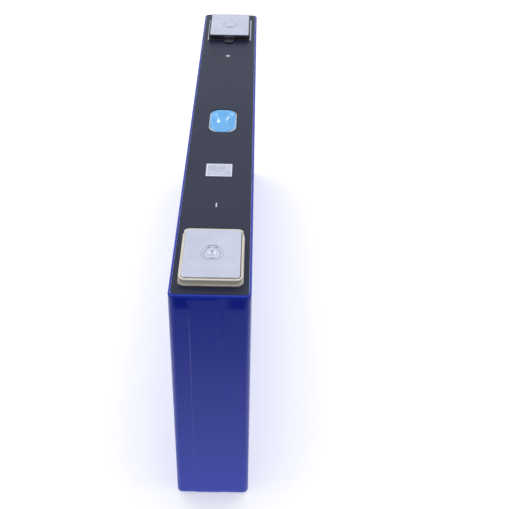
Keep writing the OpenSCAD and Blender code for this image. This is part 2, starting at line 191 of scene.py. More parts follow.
def grid_mesh(name, rows, closed=False, tips=(None, None)):
    """Mesh from rows of points: a quad between each four neighbours, and a fan from each tip to its row.

    Each row closes on itself, and closed joins the last row to the first. tips are single points that close
    the first and the last row.
    """
    count, width = rows.shape[:2]
    points = rows.reshape(-1, 3)
    index = np.arange(count * width).reshape(count, width)
    low = index if closed else index[:-1]
    high = np.roll(index, -1, axis=0) if closed else index[1:]
    quads = np.stack([low, np.roll(low, -1, axis=1), np.roll(high, -1, axis=1), high], axis=-1)
    quads = quads.reshape(-1, 4)
    fans = []
    for tip, row, first in ((tips[0], index[0], True), (tips[1], index[-1], False)):
        if tip is None:
            continue
        top = np.full(width, len(points))
        points = np.concatenate([points, [tip]])
        following = np.roll(row, -1)
        fans.append(np.stack([top, following, row] if first else [row, following, top], axis=-1))
    triangles = np.concatenate(fans) if fans else np.zeros((0, 3), int)
    corner_list = np.concatenate([quads.ravel(), triangles.ravel()]).astype(np.int32)
    sizes = np.concatenate([np.full(len(quads), 4), np.full(len(triangles), 3)])
    starts = np.concatenate([[0], np.cumsum(sizes)[:-1]]).astype(np.int32)

    mesh = bpy.data.meshes.new(name)
    mesh.vertices.add(len(points))
    mesh.vertices.foreach_set("co", points.astype(np.float32).ravel())
    mesh.loops.add(len(corner_list))
    mesh.loops.foreach_set("vertex_index", corner_list)
    mesh.polygons.add(len(sizes))
    mesh.polygons.foreach_set("loop_start", starts)
    mesh.update(calc_edges=True)
    return mesh


def piece(name, rows, slot, node, closed=False, tips=(None, None), marks=None, sharp=32):
    """Piece of the cell from rows of points, in the place of a CAD node.

    marks are named numbers per point that the finish reads, 0 at the tips. Edges that bend more than sharp
    degrees stay crisp.
    """
    mesh = grid_mesh(name, rows, closed, tips)
    points_in_rows = rows.shape[0] * rows.shape[1]
    for mark, values in (marks or {}).items():
        at_tips = np.zeros(len(mesh.vertices) - points_in_rows)
        values = np.concatenate([np.asarray(values, float).ravel(), at_tips])
        mesh.attributes.new(mark, "FLOAT", "POINT").data.foreach_set("value", values.astype(np.float32))
    mesh.validate()
    mesh.shade_smooth()
    mesh.set_sharp_from_angle(angle=math.radians(sharp))

    made = bpy.data.objects.new(name, mesh)
    bpy.context.scene.collection.objects.link(made)
    made.data.materials.append(finish(slot))
    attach(made, "root")
    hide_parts(node)
    return made


# ---------------------------------------------------------------- finishes


def put(tree, kind, feeds=None, **settings):
    """Adds a node with its own settings; feeds gives its inputs a value or the socket that drives them."""
    node = tree.nodes.new(kind)
    for name, value in settings.items():
        setattr(node, name, value)
    for name, value in (feeds or {}).items():
        if isinstance(value, bpy.types.NodeSocket):
            tree.links.new(value, node.inputs[name])
        else:
            node.inputs[name].default_value = value
    return node


def surface(
    name,
    colour,
    second=None,
    metallic=0.0,
    roughness=0.4,
    roughness_spread=0.08,
    ior=1.5,
    coat=0.0,
    coat_roughness=0.12,
    grain_mm=0.3,
    grain_height_mm=0.004,
    patch_mm=15.0,
    patch_share=1.0,
    stretch=(1.0, 1.0, 1.0),
    layers=None,
    mark=None,
    mark_colour=None,
    mark_roughness=None,
    waves=None,
):
    """A solid finish: colour that drifts in soft patches, a fine grain in relief and in the gloss.

    grain_mm and patch_mm are the real sizes of the grain and the patches; stretch draws the grain out along
    an axis, as rolling or brushing does. layers is (axis, pitch in mm, colour) for wound or stacked sheets.
    mark names a number on the mesh that brings in mark_colour and mark_roughness. waves is (size in mm,
    height in mm) of a long unevenness, as of a film over a box.
    """
    material = bpy.data.materials.new(name)
    material.use_nodes = True
    tree = material.node_tree
    tree.nodes.clear()
    place = put(tree, "ShaderNodeTexCoord").outputs["Object"]
    drawn = put(tree, "ShaderNodeMapping", {"Vector": place, "Scale": stretch}).outputs["Vector"]
    grain = put(
        tree,
        "ShaderNodeTexNoise",
        {"Vector": drawn, "Scale": 1 / (grain_mm * MM), "Detail": 3.0, "Roughness": 0.6},
    ).outputs["Fac"]
    patches = put(
        tree,
        "ShaderNodeTexNoise",
        {"Vector": place, "Scale": 1 / (patch_mm * MM), "Detail": 2.0, "Roughness": 0.5},
    ).outputs["Fac"]
    amount = put(
        tree,
        "ShaderNodeMapRange",
        {"Value": patches, "From Min": 0.3, "From Max": 0.7, "To Min": 0.0, "To Max": patch_share},
    ).outputs["Result"]
    tone = put(
        tree,
        "ShaderNodeMix",
        {"Factor": amount, "A": (*colour, 1), "B": (*(second or colour), 1)},
        data_type="RGBA",
    ).outputs[2]
    if layers:
        axis, pitch_mm, layer_colour = layers
        scale = FULL_TURN / (WAVE_NODE_FACTOR * pitch_mm * MM)
        bands = put(
            tree,
            "ShaderNodeTexWave",
            {"Vector": place, "Scale": scale, "Distortion": 0.6, "Detail": 1.0},
            wave_type="BANDS",
            bands_direction=axis,
        ).outputs["Fac"]
        tone = put(
            tree, "ShaderNodeMix", {"Factor": bands, "A": tone, "B": (*layer_colour, 1)}, data_type="RGBA"
        ).outputs[2]
    if mark:
        share = put(tree, "ShaderNodeAttribute", attribute_name=mark).outputs["Fac"]
        tone = put(
            tree, "ShaderNodeMix", {"Factor": share, "A": tone, "B": (*mark_colour, 1)}, data_type="RGBA"
        ).outputs[2]
    gloss = put(
        tree,
        "ShaderNodeMapRange",
        {
            "Value": grain,
            "From Min": 0.3,
            "From Max": 0.7,
            "To Min": roughness - roughness_spread,
            "To Max": roughness + roughness_spread,
        },
    ).outputs["Result"]
    if mark_roughness:
        gloss = put(tree, "ShaderNodeMix", {"Factor": share, "A": gloss, "B": mark_roughness}).outputs[0]
    relief = {}
    if waves:
        wave_mm, wave_height_mm = waves
        swell = put(
            tree,
            "ShaderNodeTexNoise",
            {"Vector": place, "Scale": 1 / (wave_mm * MM), "Detail": 1.0},
        ).outputs["Fac"]
        relief["Normal"] = put(
            tree, "ShaderNodeBump", {"Height": swell, "Distance": wave_height_mm * MM}
        ).outputs["Normal"]
    bump = put(
        tree, "ShaderNodeBump", {"Height": grain, "Distance": grain_height_mm * MM, **relief}
    ).outputs["Normal"]
    feeds = {
        "Base Color": tone,
        "Metallic": metallic,
        "Roughness": gloss,
        "IOR": ior,
        "Coat Weight": coat,
        "Coat Roughness": coat_roughness,
        "Normal": bump,
    }
    shader = put(tree, "ShaderNodeBsdfPrincipled", feeds).outputs["BSDF"]
    put(tree, "ShaderNodeOutputMaterial", {"Surface": shader})
    return material


# Polyester film, biaxially drawn and shrunk on: deep ultramarine, glossy, a little uneven over the can
def blue_film():
    return surface(
        "polyester_film_shrunk",
        bpy.context.scene.cell_film.colour,
        second=linear("#1430AE"),
        roughness=0.27,
        roughness_spread=0.012,
        ior=1.5,
        grain_mm=3.0,
        grain_height_mm=0.0003,
        patch_mm=30,
        mark="gusset",
        mark_colour=linear("#0A22A2"),
        mark_roughness=0.13,
        waves=(20, 0.015),
    )


# Polycarbonate sheet, die cut, matt on top: charcoal with a fine texture and a broad grey haze
def cover_sheet():
    return surface(
        "polycarbonate_sheet_matt",
        bpy.context.scene.cell_top.sheet_colour,
        second=linear("#1D2238"),
        roughness=0.42,
        ior=1.45,
        grain_mm=0.35,
        grain_height_mm=0.012,
        patch_mm=24,
        waves=(18, 0.04),
    )


# Deep-drawn and rolled aluminium: pale grey, with fine marks drawn out along the length
def can_aluminium():
    return surface(
        "aluminium_drawn",
        linear("#E6E9EF"),
        second=linear("#DCDFE6"),
        metallic=1.0,
        roughness=0.34,
        grain_mm=0.25,
        grain_height_mm=0.003,
        stretch=(1.0, 0.04, 0.3),
        patch_mm=20,
    )


# Aluminium terminal plate, milled and washed: smooth satin, bluish white, with faint cloudy handling marks,
# the riveting tool's mark in darker grey, and painted shade as darker grey in the scribed ring and at the
# bore's edge
def terminal_plate():
    return surface(
        "aluminium_satin",
        bpy.context.scene.cell_terminals.plate_colour,
        second=linear("#D8DAE6"),
        metallic=1.0,
        roughness=0.34,
        roughness_spread=0.05,
        grain_mm=0.22,
        grain_height_mm=0.002,
        patch_mm=6,
        # Darker grey where the mesh says: the riveting tool's mark, and painted shade in the scribed ring
        # and at the bore's edge
        mark="trace_and_painted_shade",
        mark_colour=linear("#8B8E9C"),
    )


# Copper pole with a nickel coat: the plate's pale tone, a little glossier
def plated_copper():
    return surface(
        "copper_plated",
        linear("#E6E7F0"),
        second=linear("#DADBE4"),
        metallic=1.0,
        roughness=0.26,
        grain_mm=0.3,
        grain_height_mm=0.003,
        patch_mm=3,
    )


# Rolled copper strip: pink-orange metal with darker tarnish in patches
def copper():
    return surface(
        "copper_rolled",
        linear("#C98257"),
        second=linear("#A9603C"),
        metallic=1.0,
        roughness=0.32,
        grain_mm=0.3,
        grain_height_mm=0.003,
        stretch=(1.0, 0.06, 1.0),
        patch_mm=9,
    )


# Stacked aluminium foils pressed together: bright grey, with the foils' edges as fine lines
def foil_aluminium():
    return surface(
        "aluminium_foil_stack",
        linear("#CDD0D4"),
        second=linear("#B9BDC3"),
        metallic=1.0,
        roughness=0.26,
        grain_mm=0.4,
        grain_height_mm=0.006,
        stretch=(1.0, 0.1, 1.0),
        patch_mm=7,
        layers=("Z", 0.25, linear("#9DA2AA")),
    )


# Moulded PPS, natural colour: cream, soft satin, fine spark-eroded texture of the mould
def cream_plastic():
    return surface(
        "pps_moulded_cream",
        bpy.context.scene.cell_terminals.seat_colour,
        second=linear("#D8D0C1"),
        roughness=0.45,
        ior=1.6,
        grain_mm=0.3,
        grain_height_mm=0.008,
        patch_mm=5,
    )


# Moulded PPS, black: satin with the same mould texture
def black_plastic():
    return surface(
        "pps_moulded_black",
        linear("#15171C"),
        second=linear("#1B1E24"),
        roughness=0.4,
        ior=1.6,
        grain_mm=0.3,
        grain_height_mm=0.01,
        patch_mm=5,
    )


# Moulded polypropylene, black: waxy and a little duller than the seats
def insulator_plastic():
    return surface(
        "polypropylene_moulded",
        linear("#1D1F22"),
        second=linear("#26292C"),
        roughness=0.5,
        ior=1.49,
        grain_mm=0.5,
        grain_height_mm=0.01,
        patch_mm=12,
    )


# Moulded fluoroelastomer: dark, dull rubber with a dusty bloom
def seal_rubber():
    return surface(
        "fluororubber_moulded",
        linear("#23261F"),
        second=linear("#34382E"),
        roughness=0.65,
        ior=1.45,
        grain_mm=0.25,
        grain_height_mm=0.01,
        patch_mm=3,
    )


# Polyester protective film on the vent: sky blue and clear-coated, so lamps show in it as small spots
def vent_film():
    return surface(
        "polyester_vent_film",
        bpy.context.scene.cell_top.vent_colour,
        second=linear("#3A9FE0"),
        roughness=0.34,
        roughness_spread=0.03,
        ior=1.6,
        coat=0.45,
        coat_roughness=0.04,
        grain_mm=0.6,
        grain_height_mm=0.003,
        patch_mm=5,
        waves=(3.5, 0.006),
    )


# Coated paper label: pale silver grey, brighter along its cut border, left blank
def label():
    return surface(
        "coated_paper_label",
        linear("#D0D3E5"),
        second=linear("#B8BBCC"),
        roughness=0.5,
        grain_mm=0.2,
        grain_height_mm=0.003,
        patch_mm=2.2,
        mark="rim",
        mark_colour=linear("#E0E2F0"),
    )


# Screen-printed white ink: chalky, a touch uneven
def white_ink():
    return surface(
        "ink_screen_printed",
        linear("#E6E8EE"),
        second=linear("#D6D8E0"),
        roughness=0.55,
        grain_mm=0.15,
        grain_height_mm=0.01,
        patch_mm=0.8,
    )


# Ceramic-coated polyethylene separator round the wound core: off-white, silky, with the turns as fine lines
def separator():
    return surface(
        "polyethylene_separator",
        linear("#DEDDD2"),
        second=linear("#D2D0C4"),
        roughness=0.45,
        grain_mm=0.4,
        grain_height_mm=0.006,
        stretch=(1.0, 1.0, 0.1),
        patch_mm=18,
        layers=("X", 0.35, linear("#B9B7AC")),
    )


# Polypropylene tape with acrylic glue: translucent-looking green, glossy
def green_tape():
    return surface(
        "polypropylene_tape",
        linear("#4C9D6A"),
        second=linear("#3F8A5B"),
        roughness=0.25,
        grain_mm=0.5,
        grain_height_mm=0.006,
        patch_mm=6,
    )


# Blown polypropylene bag film: milky, soft gloss, creased a little
def bag_film():
    return surface(
        "polypropylene_bag",
        linear("#C3CFD8"),
        second=linear("#D4DDE3"),
        roughness=0.3,
        grain_mm=0.8,
        grain_height_mm=0.01,
        patch_mm=25,
        waves=(9, 0.1),
    )


FINISHES = {
    maker.__name__: maker
    for maker in (
        blue_film,
        cover_sheet,
        can_aluminium,
        terminal_plate,
        plated_copper,
        copper,
        foil_aluminium,
        cream_plastic,
        black_plastic,
        insulator_plastic,
        seal_rubber,
        vent_film,
        label,
        white_ink,
        separator,
        green_tape,
        bag_film,
    )
}
MADE_FINISHES = {}


def finish(slot):
    """The finish of a material slot of the record, made once."""
    if slot not in MADE_FINISHES:
        MADE_FINISHES[slot] = FINISHES[slot]()
    return MADE_FINISHES[slot]


def dress(node, slot, edge_mm=0.0):
    """Gives a CAD node its finish, and softens its edges where they show."""
    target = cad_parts[node]
    target.data.materials.clear()
    target.data.materials.append(finish(slot))
    if edge_mm:
        weld = target.modifiers.new("weld", "WELD")
        weld.merge_threshold = 0.002 * MM
        bevel = target.modifiers.new("edge", "BEVEL")
        bevel.limit_method = "ANGLE"
        bevel.angle_limit = math.radians(40)
        bevel.width = edge_mm * MM
        bevel.segments = 2
        bevel.harden_normals = False
    return target


# ---------------------------------------------------------------- settings


LENGTH = {"unit": "LENGTH", "precision": 5}
COLOUR = {"subtype": "COLOR", "min": 0, "max": 1}


class FilmSettings(bpy.types.PropertyGroup):
    """Sizes and colour of the blue film"""

    thickness: bpy.props.FloatProperty(
        name="Film", description="Thickness of the film", default=0.2 * MM, min=0.05 * MM, **LENGTH
    )
    fold_radius: bpy.props.FloatProperty(
        name="Fold", description="Radius of the fold over the lid",
        default=0.75 * MM, min=0.3 * MM, **LENGTH
    )
    lip: bpy.props.FloatProperty(
        name="Lip", description="How far the film reaches over the lid", default=0.8 * MM, **LENGTH
    )
    hem: bpy.props.FloatProperty(
        name="Hem", description="How far the film reaches under the can", default=6 * MM, **LENGTH
    )
    flap_left: bpy.props.FloatProperty(
        name="Outer flap edge", description="Edge of the outer end flap, from the middle",
        default=-6.8 * MM, **LENGTH
    )
    flap_right: bpy.props.FloatProperty(
        name="Inner flap edge", description="Edge of the flap beneath, from the middle",
        default=2.8 * MM, **LENGTH
    )
    colour: bpy.props.FloatVectorProperty(
        name="Film colour", description="Colour of the polyester film", default=linear("#122CB4"), **COLOUR
    )


class TopSettings(bpy.types.PropertyGroup):
    """Colours and shape of what lies on the lid"""

    sheet_colour: bpy.props.FloatVectorProperty(
        name="Cover sheet", description="Colour of the cover sheet", default=linear("#181D33"), **COLOUR
    )
    vent_colour: bpy.props.FloatVectorProperty(
        name="Vent film", description="Colour of the film over the vent",
        default=linear("#31A5EB"), **COLOUR
    )
    vent_sag: bpy.props.FloatProperty(
        name="Vent sag", description="How far the vent film dips in the middle",
        default=0.45 * MM, min=0, max=1 * MM, **LENGTH
    )
    corner_cut: bpy.props.FloatProperty(
        name="Vent corners", description="How far the vent film's corners at the negative end are cut back",
        default=0.5 * MM, min=0, max=1 * MM, **LENGTH
    )


class TerminalSettings(bpy.types.PropertyGroup):
    """Sizes and colours of the terminals"""

    ring_distance: bpy.props.FloatProperty(
        name="Scribed ring", description="Distance from the pole's neck to the line scribed round it",
        default=0.95 * MM, **LENGTH
    )
    groove_depth: bpy.props.FloatProperty(
        name="Groove depth", description="How far the plate falls from the scribed ring to the pole",
        default=0.15 * MM, **LENGTH
    )
    plate_colour: bpy.props.FloatVectorProperty(
        name="Plates", description="Colour of the terminal plates", default=linear("#E2E3EF"), **COLOUR
    )
    seat_colour: bpy.props.FloatVectorProperty(
        name="Negative seat", description="Colour of the cream seat", default=linear("#DFD9CC"), **COLOUR
    )


# ---------------------------------------------------------------- stage

# Softbox over the cell: place and size in metres, power in watts
SOFTBOX_PLACE = (0.0, 0.15, 1.5)
SOFTBOX_SIZE = (1.4, 1.0)
SOFTBOX_WATTS = 14.0

# Light of the surroundings as linear RGB: for matt surfaces, then what mirrors see, then for the camera
AMBIENT = (0.42, 0.43, 0.45, 1)
STUDIO_WALL = (0.84, 0.88, 0.96, 1)
STUDIO_SHADE = (0.18, 0.19, 0.22, 1)
STUDIO_WINDOW = (1.15, 1.2, 1.3, 1)
# Painted glow of the floor round the cell: light from a board that is no lamp
PAINTED_FLOOR_GLOW = (0.93, 0.95, 1.0, 1)
WHITE = (1, 1, 1, 1)
SHADE_DIRECTION = (0.0, -0.8, 0.6)

# Floor: radii of the disc's rings in metres, the outermost first, and the places round each
FLOOR_RINGS = (2.0, 1.5, 1.0, 0.6, 0.3, 0.1)
FLOOR_PLACES = 64

# Camera: place, lens and sensor in millimetres, angles in degrees, shift as a share of the sensor
CAMERA_PLACE = (13.37, -314.97, 292.63)
CAMERA_HEADING = 0.087
CAMERA_DIP = 33.661
CAMERA_ROLL = 1.148
CAMERA_LENS = 60.6
CAMERA_SENSOR = 36.0
CAMERA_SHIFT = -0.1876


class CELL_OT_stage(bpy.types.Operator):
    """Sets up the pale floor, the soft lights and the camera"""

    bl_idname = "battery_cell.stage"
    bl_label = "Stage"

    def execute(self, context):
        scene = context.scene
        scene.view_settings.view_transform = "Standard"
        make_world(scene)
        make_floor()
        softbox = make_lamp("softbox_top", SOFTBOX_PLACE, SOFTBOX_SIZE, SOFTBOX_WATTS)
        softbox.visible_glossy = False
        make_camera(scene)
        return {"FINISHED"}


def make_world(scene):
    """Soft ambient light for matt surfaces; mirroring ones see a studio, and the camera sees plain white.

    The studio is white all round but for a darker patch before and above the cell, where the viewer stands:
    the brightness falls by a smooth step on the dot product of the direction and the patch's own direction.
    To the left and the right it rises by a smooth step on the direction's share across, as windows give.
    """
    world = bpy.data.worlds.new("studio")
    scene.world = world
    world.use_nodes = True
    tree = world.node_tree
    tree.nodes.clear()
    look = put(tree, "ShaderNodeTexCoord").outputs["Generated"]
    towards_shade = put(
        tree, "ShaderNodeVectorMath", {0: look, 1: SHADE_DIRECTION}, operation="DOT_PRODUCT"
    ).outputs["Value"]
    shade = put(
        tree,
        "ShaderNodeMapRange",
        {"Value": towards_shade, "From Min": 0.35, "From Max": 0.9},
        interpolation_type="SMOOTHSTEP",
    ).outputs["Result"]
    wall = put(
        tree, "ShaderNodeMix", {"Factor": shade, "A": STUDIO_WALL, "B": STUDIO_SHADE}, data_type="RGBA"
    ).outputs[2]
    across = put(tree, "ShaderNodeSeparateXYZ", {"Vector": look}).outputs["X"]
    aside = put(tree, "ShaderNodeMath", {0: across}, operation="ABSOLUTE").outputs[0]
    windows = put(
        tree,
        "ShaderNodeMapRange",
        {"Value": aside, "From Min": 0.35, "From Max": 0.6},
        interpolation_type="SMOOTHSTEP",
    ).outputs["Result"]
    backdrop = put(
        tree, "ShaderNodeMix", {"Factor": windows, "A": wall, "B": STUDIO_WINDOW}, data_type="RGBA"
    ).outputs[2]
    path = put(tree, "ShaderNodeLightPath").outputs
    mirroring = put(
        tree,
        "ShaderNodeMath",
        {0: path["Is Glossy Ray"], 1: path["Is Transmission Ray"]},
        operation="MAXIMUM",
    ).outputs[0]
    studio = put(
        tree, "ShaderNodeMix", {"Factor": mirroring, "A": AMBIENT, "B": backdrop}, data_type="RGBA"
    ).outputs[2]
    seen = put(
        tree, "ShaderNodeMix", {"Factor": path["Is Camera Ray"], "A": studio, "B": WHITE}, data_type="RGBA"
    ).outputs[2]
    light = put(tree, "ShaderNodeBackground", {"Color": seen, "Strength": 1.0}).outputs["Background"]
    put(tree, "ShaderNodeOutputWorld", {"Surface": light})


def make_floor():
    """A pale floor: a wide flat disc of rings round the cell."""
    rows = ring_rows(round_the_clock(FLOOR_PLACES), np.array(FLOOR_RINGS), 0.0)
    mesh = grid_mesh("studio_floor", rows, tips=(None, (0.0, 0.0, 0.0)))
    mesh.materials.append(floor_board())
    floor = bpy.data.objects.new("studio_floor", mesh)
    bpy.context.scene.collection.objects.link(floor)


# White matt board that glows round the cell though it is no lamp: painted light from below, and a painted
# reflection beside the cell
def floor_board():
    """The board differs by what looks at it, and each glow follows the distance from the middle.

    Matt surfaces get the light of a mid-grey board and a painted glow, light that the floor gives off near
    the cell and that fades outwards by a smooth step. Mirroring ones see only a glow, a painted reflection,
    which fades likewise and doubles from the cell's side outwards. The camera sees a nearly white board,
    lifted by a glow that grows evenly outwards.
    """
    material = bpy.data.materials.new("painted_board_white")
    material.use_nodes = True
    tree = material.node_tree
    tree.nodes.clear()
    place = put(tree, "ShaderNodeTexCoord").outputs["Object"]
    away = put(tree, "ShaderNodeVectorMath", {0: place}, operation="LENGTH").outputs["Value"]

    tooth = put(tree, "ShaderNodeTexNoise", {"Vector": place, "Scale": 1 / (8 * MM)}).outputs["Fac"]
    bump = put(tree, "ShaderNodeBump", {"Height": tooth, "Distance": 0.02 * MM}).outputs["Normal"]
    grey = (*linear("#959595"), 1)
    board = put(tree, "ShaderNodeBsdfDiffuse", {"Color": grey, "Normal": bump}).outputs["BSDF"]
    # Painted light: near the cell the board glows and lights it from below
    near = put(
        tree,
        "ShaderNodeMapRange",
        {"Value": away, "From Min": 0.13, "From Max": 0.27, "To Min": 1.0, "To Max": 0.0},
        interpolation_type="SMOOTHSTEP",
    ).outputs["Result"]
    painted_glow = put(tree, "ShaderNodeEmission", {"Color": PAINTED_FLOOR_GLOW, "Strength": near}).outputs["Emission"]
    matt = put(tree, "ShaderNodeAddShader", {0: board, 1: painted_glow}).outputs["Shader"]

    # Painted reflection: what mirrors the floor sees a glow near the cell, doubled beside it
    dimmed = put(
        tree,
        "ShaderNodeMapRange",
        {"Value": away, "From Min": 0.12, "From Max": 0.26, "To Min": 0.78, "To Max": 0.02},
        interpolation_type="SMOOTHSTEP",
    ).outputs["Result"]
    across = put(tree, "ShaderNodeSeparateXYZ", {"Vector": place}).outputs["X"]
    aside = put(tree, "ShaderNodeMath", {0: across}, operation="ABSOLUTE").outputs[0]
    beside = put(
        tree,
        "ShaderNodeMapRange",
        {"Value": aside, "From Min": 0.03, "From Max": 0.09, "To Min": 1.0, "To Max": 2.0},
    ).outputs["Result"]
    strength = put(tree, "ShaderNodeMath", {0: dimmed, 1: beside}, operation="MULTIPLY").outputs[0]
    painted_reflection = put(tree, "ShaderNodeEmission", {"Color": PAINTED_FLOOR_GLOW, "Strength": strength})

    pale = (*linear("#F9F9F9"), 1)
    bright = put(tree, "ShaderNodeBsdfDiffuse", {"Color": pale}).outputs["BSDF"]
    haze = put(
        tree,
        "ShaderNodeMapRange",
        {"Value": away, "From Min": 0.4, "From Max": 1.6, "To Min": 0.3, "To Max": 0.58},
    ).outputs["Result"]
    glow = put(tree, "ShaderNodeEmission", {"Color": WHITE, "Strength": haze}).outputs["Emission"]
    shown = put(tree, "ShaderNodeAddShader", {0: bright, 1: glow}).outputs["Shader"]

    path = put(tree, "ShaderNodeLightPath").outputs
    unseen = put(
        tree, "ShaderNodeMixShader", {0: path["Is Glossy Ray"], 1: matt, 2: painted_reflection.outputs["Emission"]}
    ).outputs["Shader"]
    mixed = put(tree, "ShaderNodeMixShader", {0: path["Is Camera Ray"], 1: unseen, 2: shown})
    put(tree, "ShaderNodeOutputMaterial", {"Surface": mixed.outputs["Shader"]})
    return material


def make_lamp(name, place, size, power):
    """A rectangular softbox that looks at the middle of the cell."""
    lamp = bpy.data.lights.new(name, "AREA")
    lamp.shape = "RECTANGLE"
    lamp.size, lamp.size_y = size
    lamp.energy = power
    holder = bpy.data.objects.new(name, lamp)
    bpy.context.scene.collection.objects.link(holder)
    holder.location = place
    aim = (CAD_LOW + CAD_HIGH) / 2 - Vector(place)
    holder.rotation_euler = aim.to_track_quat("-Z", "Y").to_euler()
    return holder


def make_camera(scene):
    """The camera stands before the negative end and above it, a little to the right, and looks down."""
    heading, dip, roll = (math.radians(angle) for angle in (CAMERA_HEADING, CAMERA_DIP, CAMERA_ROLL))
    ahead = np.array([math.sin(heading) * math.cos(dip), math.cos(heading) * math.cos(dip), -math.sin(dip)])
    level = np.array([math.cos(heading), -math.sin(heading), 0.0])
    above = np.cross(level, ahead)
    turned = np.eye(4)
    turned[:3, 0] = math.cos(roll) * level + math.sin(roll) * above
    turned[:3, 1] = -math.sin(roll) * level + math.cos(roll) * above
    turned[:3, 2] = -ahead
    turned[:3, 3] = np.array(CAMERA_PLACE) * MM
    lens = bpy.data.cameras.new("camera")
    lens.lens = CAMERA_LENS
    lens.sensor_width = CAMERA_SENSOR
    lens.sensor_fit = "HORIZONTAL"
    lens.shift_y = CAMERA_SHIFT
    lens.clip_start = 0.01
    camera = bpy.data.objects.new("camera", lens)
    scene.collection.objects.link(camera)
    camera.matrix_world = Matrix(turned.tolist())
    scene.camera = camera


# ---------------------------------------------------------------- pieces


class CELL_OT_film(bpy.types.Operator):
    """Makes the blue film round the can, with its folded lip, hem and lapped end flaps"""

    bl_idname = "battery_cell.film"
    bl_label = "Film"

    def execute(self, context):
        make_film(context.scene.cell_film)
        dress("bottom_sheet", "blue_film", 0.05)
        return {"FINISHED"}


def make_film(film):
    """Section of the film carried round the can, then pushed out on the end faces where the flaps overlap.

    On an end face a point goes out by the lap's thickness times a smooth step up at the outer flap's edge
    and a smooth step down at the covered one's. The large faces give in by a product of slow sines. A
    gusset is exp(-(a^6 + b^6)), where a and b are the distances from its middle as shares of its half sizes.
    """
    low, high, _ = box("film_wrap")
    can_low, _, _ = box("case_can")
    lap = can_low[1] - low[1] - film.thickness
    size = (high[0] - low[0], high[1] - low[1] - 2 * lap)
    bottom, top = low[2], high[2]
    corner, hem_fold = 2.0 * MM, 0.4 * MM
    inner_fold = film.fold_radius - film.thickness
    wall_levels = np.arange(3 * MM, top - 10.5 * MM, 4 * MM)
    gusset_levels = top - np.arange(9.0, 1.2, -0.5) * MM
    corners = [(-film.hem, bottom, 0), (0, bottom, hem_fold)]
    corners += [(0, level, 0) for level in (*wall_levels, *gusset_levels)]
    corners += [
        (0, top, film.fold_radius),
        (-film.lip, top, 0),
        (-film.lip, top - film.thickness, 0),
        (-film.thickness, top - film.thickness, inner_fold),
        (-film.thickness, bottom + film.thickness, hem_fold - film.thickness),
        (-film.hem, bottom + film.thickness, 0),
    ]
    section = round_corners(corners, steps=6)
    run = size[0] / 2 - corner
    seam_steps = np.array([-1.2, -0.6, -0.3, -0.12, 0.0, 0.06, 0.12, 0.3, 0.6, 1.2]) * MM
    marks_x = np.concatenate(
        [film.flap_left + seam_steps, film.flap_right + seam_steps, np.linspace(-run, run, 27)[1:-1]]
    )
    run_x = np.unique(np.round(marks_x / run, 4))
    places = walk(run_x, even_run(55), 8)
    rows = rounded_rows(places, size, section[:, 0], corner, section[:, 1])
    outside = (section[:, 0] > -film.thickness / 2)[:, None]
    angle = places[2]
    x, y, z = rows[..., 0], rows[..., 1], rows[..., 2]
    end_face = np.abs(np.cos(angle)) < SQUARE_ON
    large_face = np.abs(np.sin(angle)) < SQUARE_ON

    # Two layers stand proud of one between the flaps' edges; the outer edge is crisp, the covered one soft
    crisp, soft = 0.24 * MM, 1.0 * MM
    doubled = step_up(x, film.flap_left - crisp / 2, crisp)
    doubled = doubled * (1 - step_up(x, film.flap_right - soft / 2, soft))
    below_fold = 1 - step_up(z, top - 1.6 * MM, 0.8 * MM)
    push = lap * doubled * below_fold * end_face
    # The large faces give in by a few hundredths where the film bridges the can
    give = 0.03 * MM
    ease = np.sin(y / (31 * MM) + 1.3 * np.sin(z / (27 * MM))) * np.sin(z / (19 * MM) + 0.7)
    upright = step_up(z, bottom + 4 * MM, 8 * MM) * (1 - step_up(z, top - 9 * MM, 6 * MM))
    push = push - give * (1 + ease) / 2 * upright * large_face
    rows[..., 0] += np.where(outside, push * np.cos(angle), 0)
    rows[..., 1] += np.where(outside, push * np.sin(angle), 0)

    # Darker, glossier film in the folded corners at the top of the end faces
    across = (np.abs(x) - (size[0] / 2 - 4.7 * MM)) / (2.9 * MM)
    down = (top - 3.2 * MM - z) / (2.3 * MM)
    gusset = np.exp(-(across**6 + down**6)) * end_face * outside
    # There the film leans out downwards, nearly as far as the lapped part, and eases back below
    lean = np.clip((down + 1.0) / 2.0, 0.0, 1.0) * (1 - step_up(down, 1.0, 5.0))
    lean = 0.95 * lap * lean * (1 - doubled) * np.exp(-(across**6))
    rows[..., 1] += lean * end_face * outside * np.sign(y)
    marks = {"gusset": gusset}
    piece("film_wrap_shrunk", rows, "blue_film", "film_wrap", closed=True, marks=marks, sharp=50)


class CELL_OT_can(bpy.types.Operator):
    """Makes the drawn can with its rounded edges, and finishes the lid and its fittings"""

    bl_idname = "battery_cell.can"
    bl_label = "Can and lid"

    def execute(self, context):
        make_can(context.scene.cell_film)
        dress("lid_plate", "can_aluminium", 0.06)
        dress("vent_disc", "can_aluminium")
        dress("fill_seal_disc", "can_aluminium")
        dress("fill_plug", "seal_rubber")
        return {"FINISHED"}


